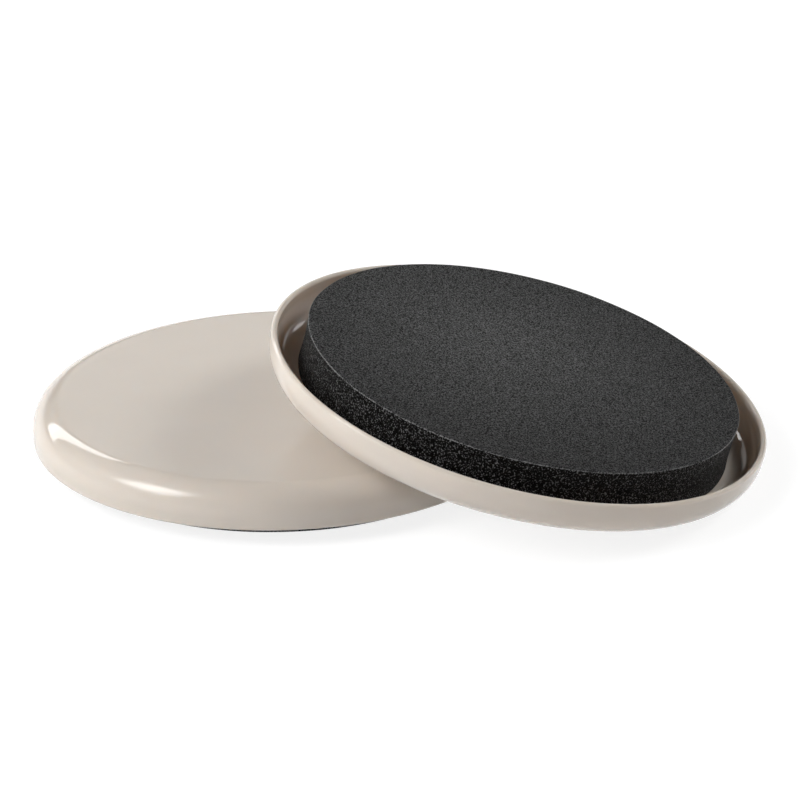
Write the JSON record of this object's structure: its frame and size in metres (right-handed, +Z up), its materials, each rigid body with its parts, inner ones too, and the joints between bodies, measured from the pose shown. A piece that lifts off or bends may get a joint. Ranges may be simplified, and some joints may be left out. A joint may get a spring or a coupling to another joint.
{
  "type": "furniture slider pair",
  "caption": "Round dished plastic furniture sliders with bonded foam pads, one lying pad down, the other leaning on it pad up; they carry furniture legs across carpet.",
  "frame": {"origin": "centre of the lying slider's pad face, on the floor", "axes": "+Z up, out of the lying slider's sliding face; +X from the lying slider towards the leaning one; XZ is a mirror plane"},
  "size_m": [0.1779, 0.1206, 0.0387],
  "materials": {
    "shell": "glossy moulded plastic, beige",
    "pad": "closed-cell foam rubber, charcoal, fine grain",
    "film": "thin clear amber adhesive film"
  },
  "bodies": {
    "lying_slider": {"lying_shell": "shell", "lying_film": "film", "lying_pad": "pad"},
    "leaning_slider": {"leaning_shell": "shell", "leaning_film": "film", "leaning_pad": "pad"}
  },
  "joints": [
    {"name": "leaning_slider_lift", "type": "slide", "parent": "lying_slider", "child": "leaning_slider", "axis": [0, 0, 1], "range_m": [0, 0.05]}
  ]
}
